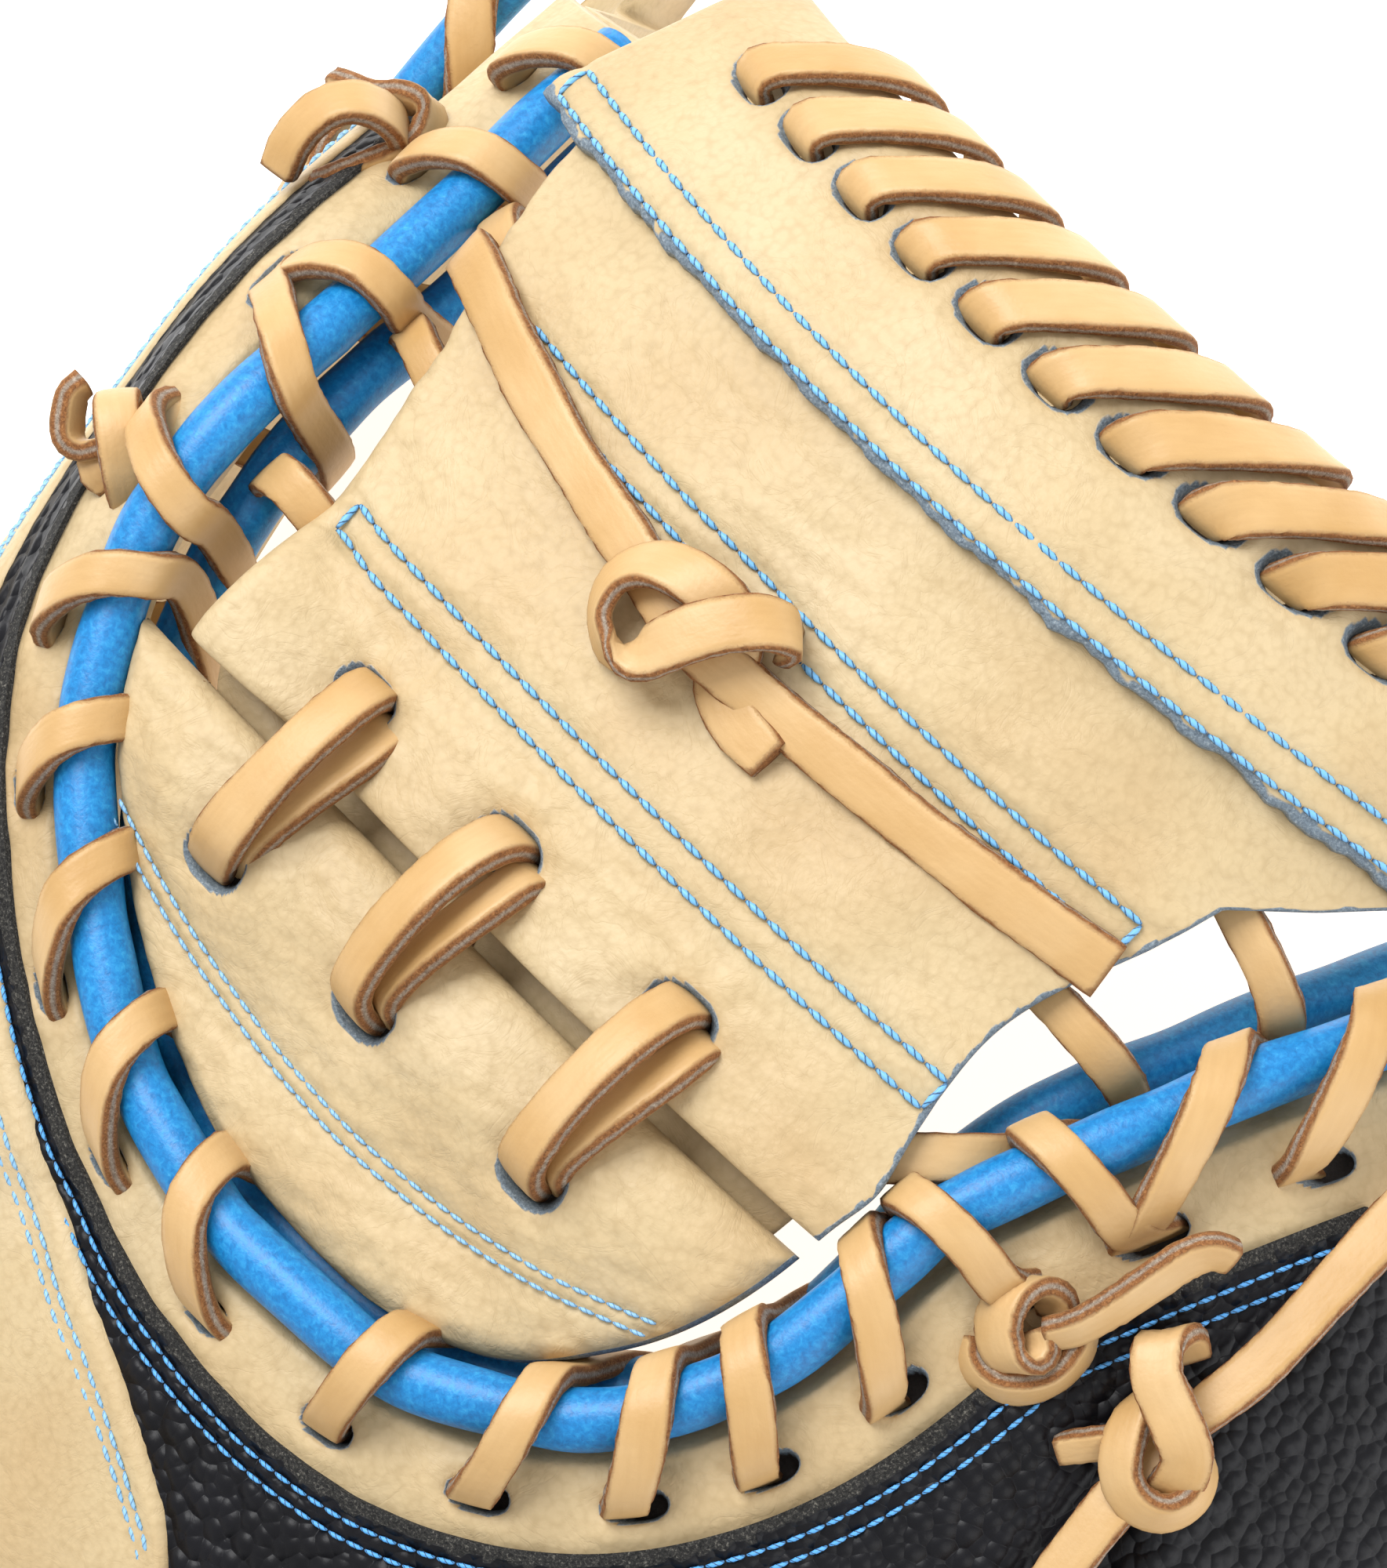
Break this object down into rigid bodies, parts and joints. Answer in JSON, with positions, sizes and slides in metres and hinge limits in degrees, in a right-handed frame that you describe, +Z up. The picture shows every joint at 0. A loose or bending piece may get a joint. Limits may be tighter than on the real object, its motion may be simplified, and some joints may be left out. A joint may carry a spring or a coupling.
{
  "type": "baseball catcher's mitt",
  "caption": "Padded leather catcher's mitt lying palm down, with a laced closed web between thumb and fingers, rolled bindings and a wrist strap.",
  "frame": {"origin": "middle of the mitt's box in plan, on the surface it lies on", "axes": "+Z up, out of the back of the mitt; +Y from the crotch of the web towards its laced top rim; +X towards the thumb"},
  "size_m": [0.2633, 0.2939, 0.1022],
  "materials": {
    "blond": "pebbled full-grain leather, cream to light tan",
    "lace": "rawhide lace, smooth face and rough brown cut edges",
    "black": "black leather embossed with small round scales",
    "blue": "bright blue rolled leather binding, fine mottled grain"
  },
  "bodies": {
    "root": {"palm": "blond", "black_shell": "black", "finger_panel": "blond", "web_collar": "blond", "notch_binding_back": "blue", "notch_binding_palm": "blue", "notch_lace": "lace", "rim_binding": "blue", "rim_lace": "lace", "web_rim_lace": "lace", "joining_loop_1": "lace", "joining_loop_2": "lace", "joining_loop_3": "lace", "web_main": "blond", "web_front": "blond", "web_crotch": "blond", "web_fold": "blond", "cross_lace": "lace", "thumb_knot": "lace", "notch_knot": "lace", "finger_knot_high": "lace", "finger_knot_low": "lace", "wrist_strap": "black", "strap_tab": "blond"}
  },
  "joints": []
}
